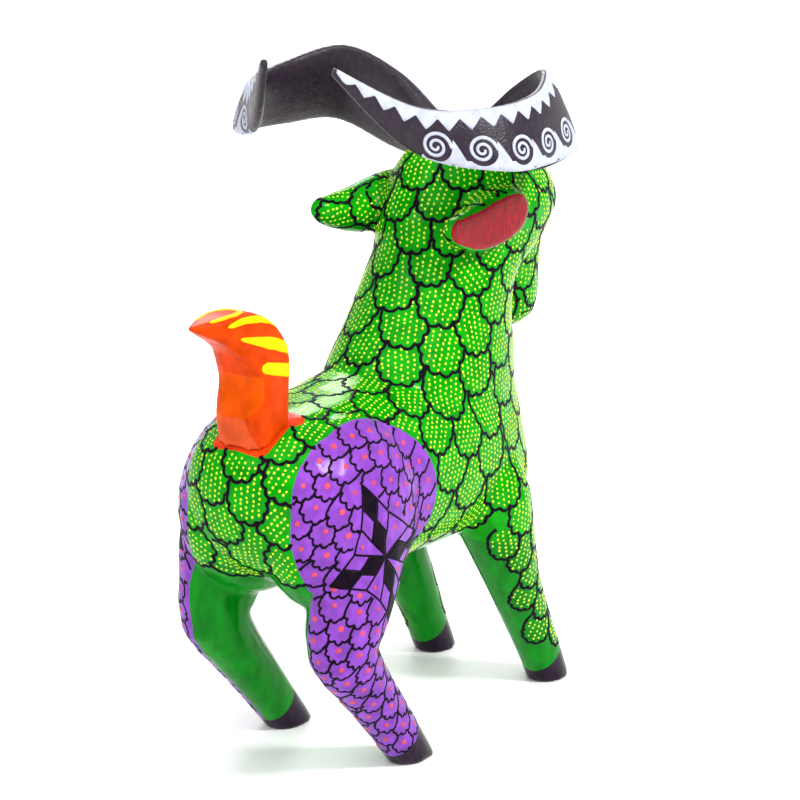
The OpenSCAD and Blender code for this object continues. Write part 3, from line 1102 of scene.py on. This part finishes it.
def build_tail(paints):
    """The hooked tail, with painted light on its rear-facing facets and its yellow stripes."""
    piece = carved_skin("painted_tail", "tail", 0.5, 4)
    skin = Skin(piece)
    # Painted light: the rear-facing facets, picked out by the direction they face, are painted lighter as
    # highlights.
    rearward = (skin.normals[:, 1] - 0.35) * 10
    x, z = skin.mm[:, 0], skin.mm[:, 2]
    light = np.minimum(np.minimum(131 - z, z - 118), x + 8.3 - 0.15 * np.maximum(124 - z, 0) ** 2)
    skin.keep("painted_highlight_facet", np.minimum(light, rearward))
    skin.keep("painted_light_foot_facet", np.minimum(np.minimum(118 - z, x + 3.3 + 0.5 * (118 - z)), rearward))
    finish_piece(piece, "tail_plug", paints["tail"], "tail")
    mesh = PaintMesh()
    for half_path, front_width, end_width in TAIL_STRIPES:
        right = np.array(half_path)
        left = right[::-1] * (-1, 1, 1)
        corners = np.concatenate([right, left])
        along = np.concatenate([[0], np.cumsum(np.linalg.norm(np.diff(corners, axis=0), axis=1))])
        steps = np.linspace(0, along[-1], 80)
        path = np.stack([np.interp(steps, along, corners[:, k]) for k in range(3)], 1)
        to_end = np.minimum(steps, along[-1] - steps)
        widths = end_width + (front_width - end_width) * np.minimum(to_end / 11, 1)
        widths *= np.sqrt(np.clip((to_end + 0.15) / 1.4, 0, 1))
        mesh.ribbon(skin, [to_scene(p) for p in path], widths * MM, 5, 0.12 * MM)
    mesh.piece("tail_stripes", "tail_plug", "painted_tail", paints["yellow"])


# ---------- the room ----------


def soft_light(name, place, target, size, power):
    data = bpy.data.lights.new(name, "AREA")
    data.shape = "RECTANGLE"
    data.size, data.size_y = size
    data.energy = power
    light = bpy.data.objects.new(name, data)
    light.location = place
    light.rotation_euler = (Vector(target) - Vector(place)).to_track_quat("-Z", "Y").to_euler()
    bpy.context.scene.collection.objects.link(light)


def build_room():
    """A plain pale floor, soft studio light and the camera."""
    floor = mesh_piece("floor", [(-9, -9, 0), (9, -9, 0), (9, 9, 0), (-9, 9, 0)], [(0, 1, 2, 3)])
    paint = Paint("floor_paint", 0.7, 0.0)
    paint.colour(paint.brushed((250, 250, 250), 6, 0.006))
    floor.data.materials.append(paint.material)
    middle = (0, 0, 0.1)
    soft_light("key", (-0.82, 0.0, 0.85), middle, (0.16, 0.16), 9)
    soft_light("rim", (0.75, -0.85, 0.8), middle, (0.5, 0.5), 8)
    soft_light("rear", (0.25, 0.9, 0.7), middle, (0.4, 0.4), 1.4)
    soft_light("front", (0.1, -1.3, 0.9), middle, (0.6, 0.6), 2.5)
    sun = bpy.data.lights.new("sky", "SUN")
    sun.energy = 1.2
    sun.angle = 1.2
    above_figure = bpy.data.objects.new("sky", sun)
    above_figure.rotation_euler = (math.radians(-28), math.radians(-14), 0)
    bpy.context.scene.collection.objects.link(above_figure)
    world = bpy.data.worlds.new("studio")
    world.use_nodes = True
    world.node_tree.nodes["Background"].inputs["Color"].default_value = (1, 1, 1, 1)
    world.node_tree.nodes["Background"].inputs["Strength"].default_value = 0.75
    bpy.context.scene.world = world
    bpy.context.scene.view_settings.view_transform = "Standard"

    around, above, away = math.radians(215.4), math.radians(16.7), 0.902
    target = to_scene((0, 11.9, 103.5))
    back = Vector((math.sin(around) * math.cos(above), -math.cos(around) * math.cos(above), math.sin(above)))
    data = bpy.data.cameras.new("camera")
    data.lens = 130.7
    data.sensor_width = 36
    data.clip_start = 0.05
    camera = bpy.data.objects.new("camera", data)
    camera.location = target + back * away
    camera.rotation_euler = (-back).to_track_quat("-Z", "Y").to_euler()
    bpy.context.scene.collection.objects.link(camera)
    bpy.context.scene.camera = camera


def build_pegs(wood):
    for node in ("left_horn_peg", "right_horn_peg", "tail_peg"):
        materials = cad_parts[node].data.materials
        materials.clear()
        materials.append(wood)


paints = {
    "body": make_body_paint(),
    "horn": make_horn_paint(),
    "tail": make_tail_paint(),
    "black": simple_paint("line_paint", (16, 8, 20), 0.35, 0.25, 0.3),
    "dot": simple_paint("dot_paint", (206, 228, 62), 0.35, 0.15, 0.06),
    "coral": simple_paint("coral_paint", (198, 74, 96), 0.35, 0.15, 0.1),
    "white": simple_paint("white_paint", (180, 185, 202), 0.4, 0.2, 0.05),
    "yellow": simple_paint("yellow_paint", (244, 200, 10), 0.35, 0.2, 0.06),
}
build_body(paints)
build_horn(-1, "right_horn", paints)
build_horn(1, "left_horn", paints)
build_tail(paints)
build_pegs(make_peg_wood())
build_room()
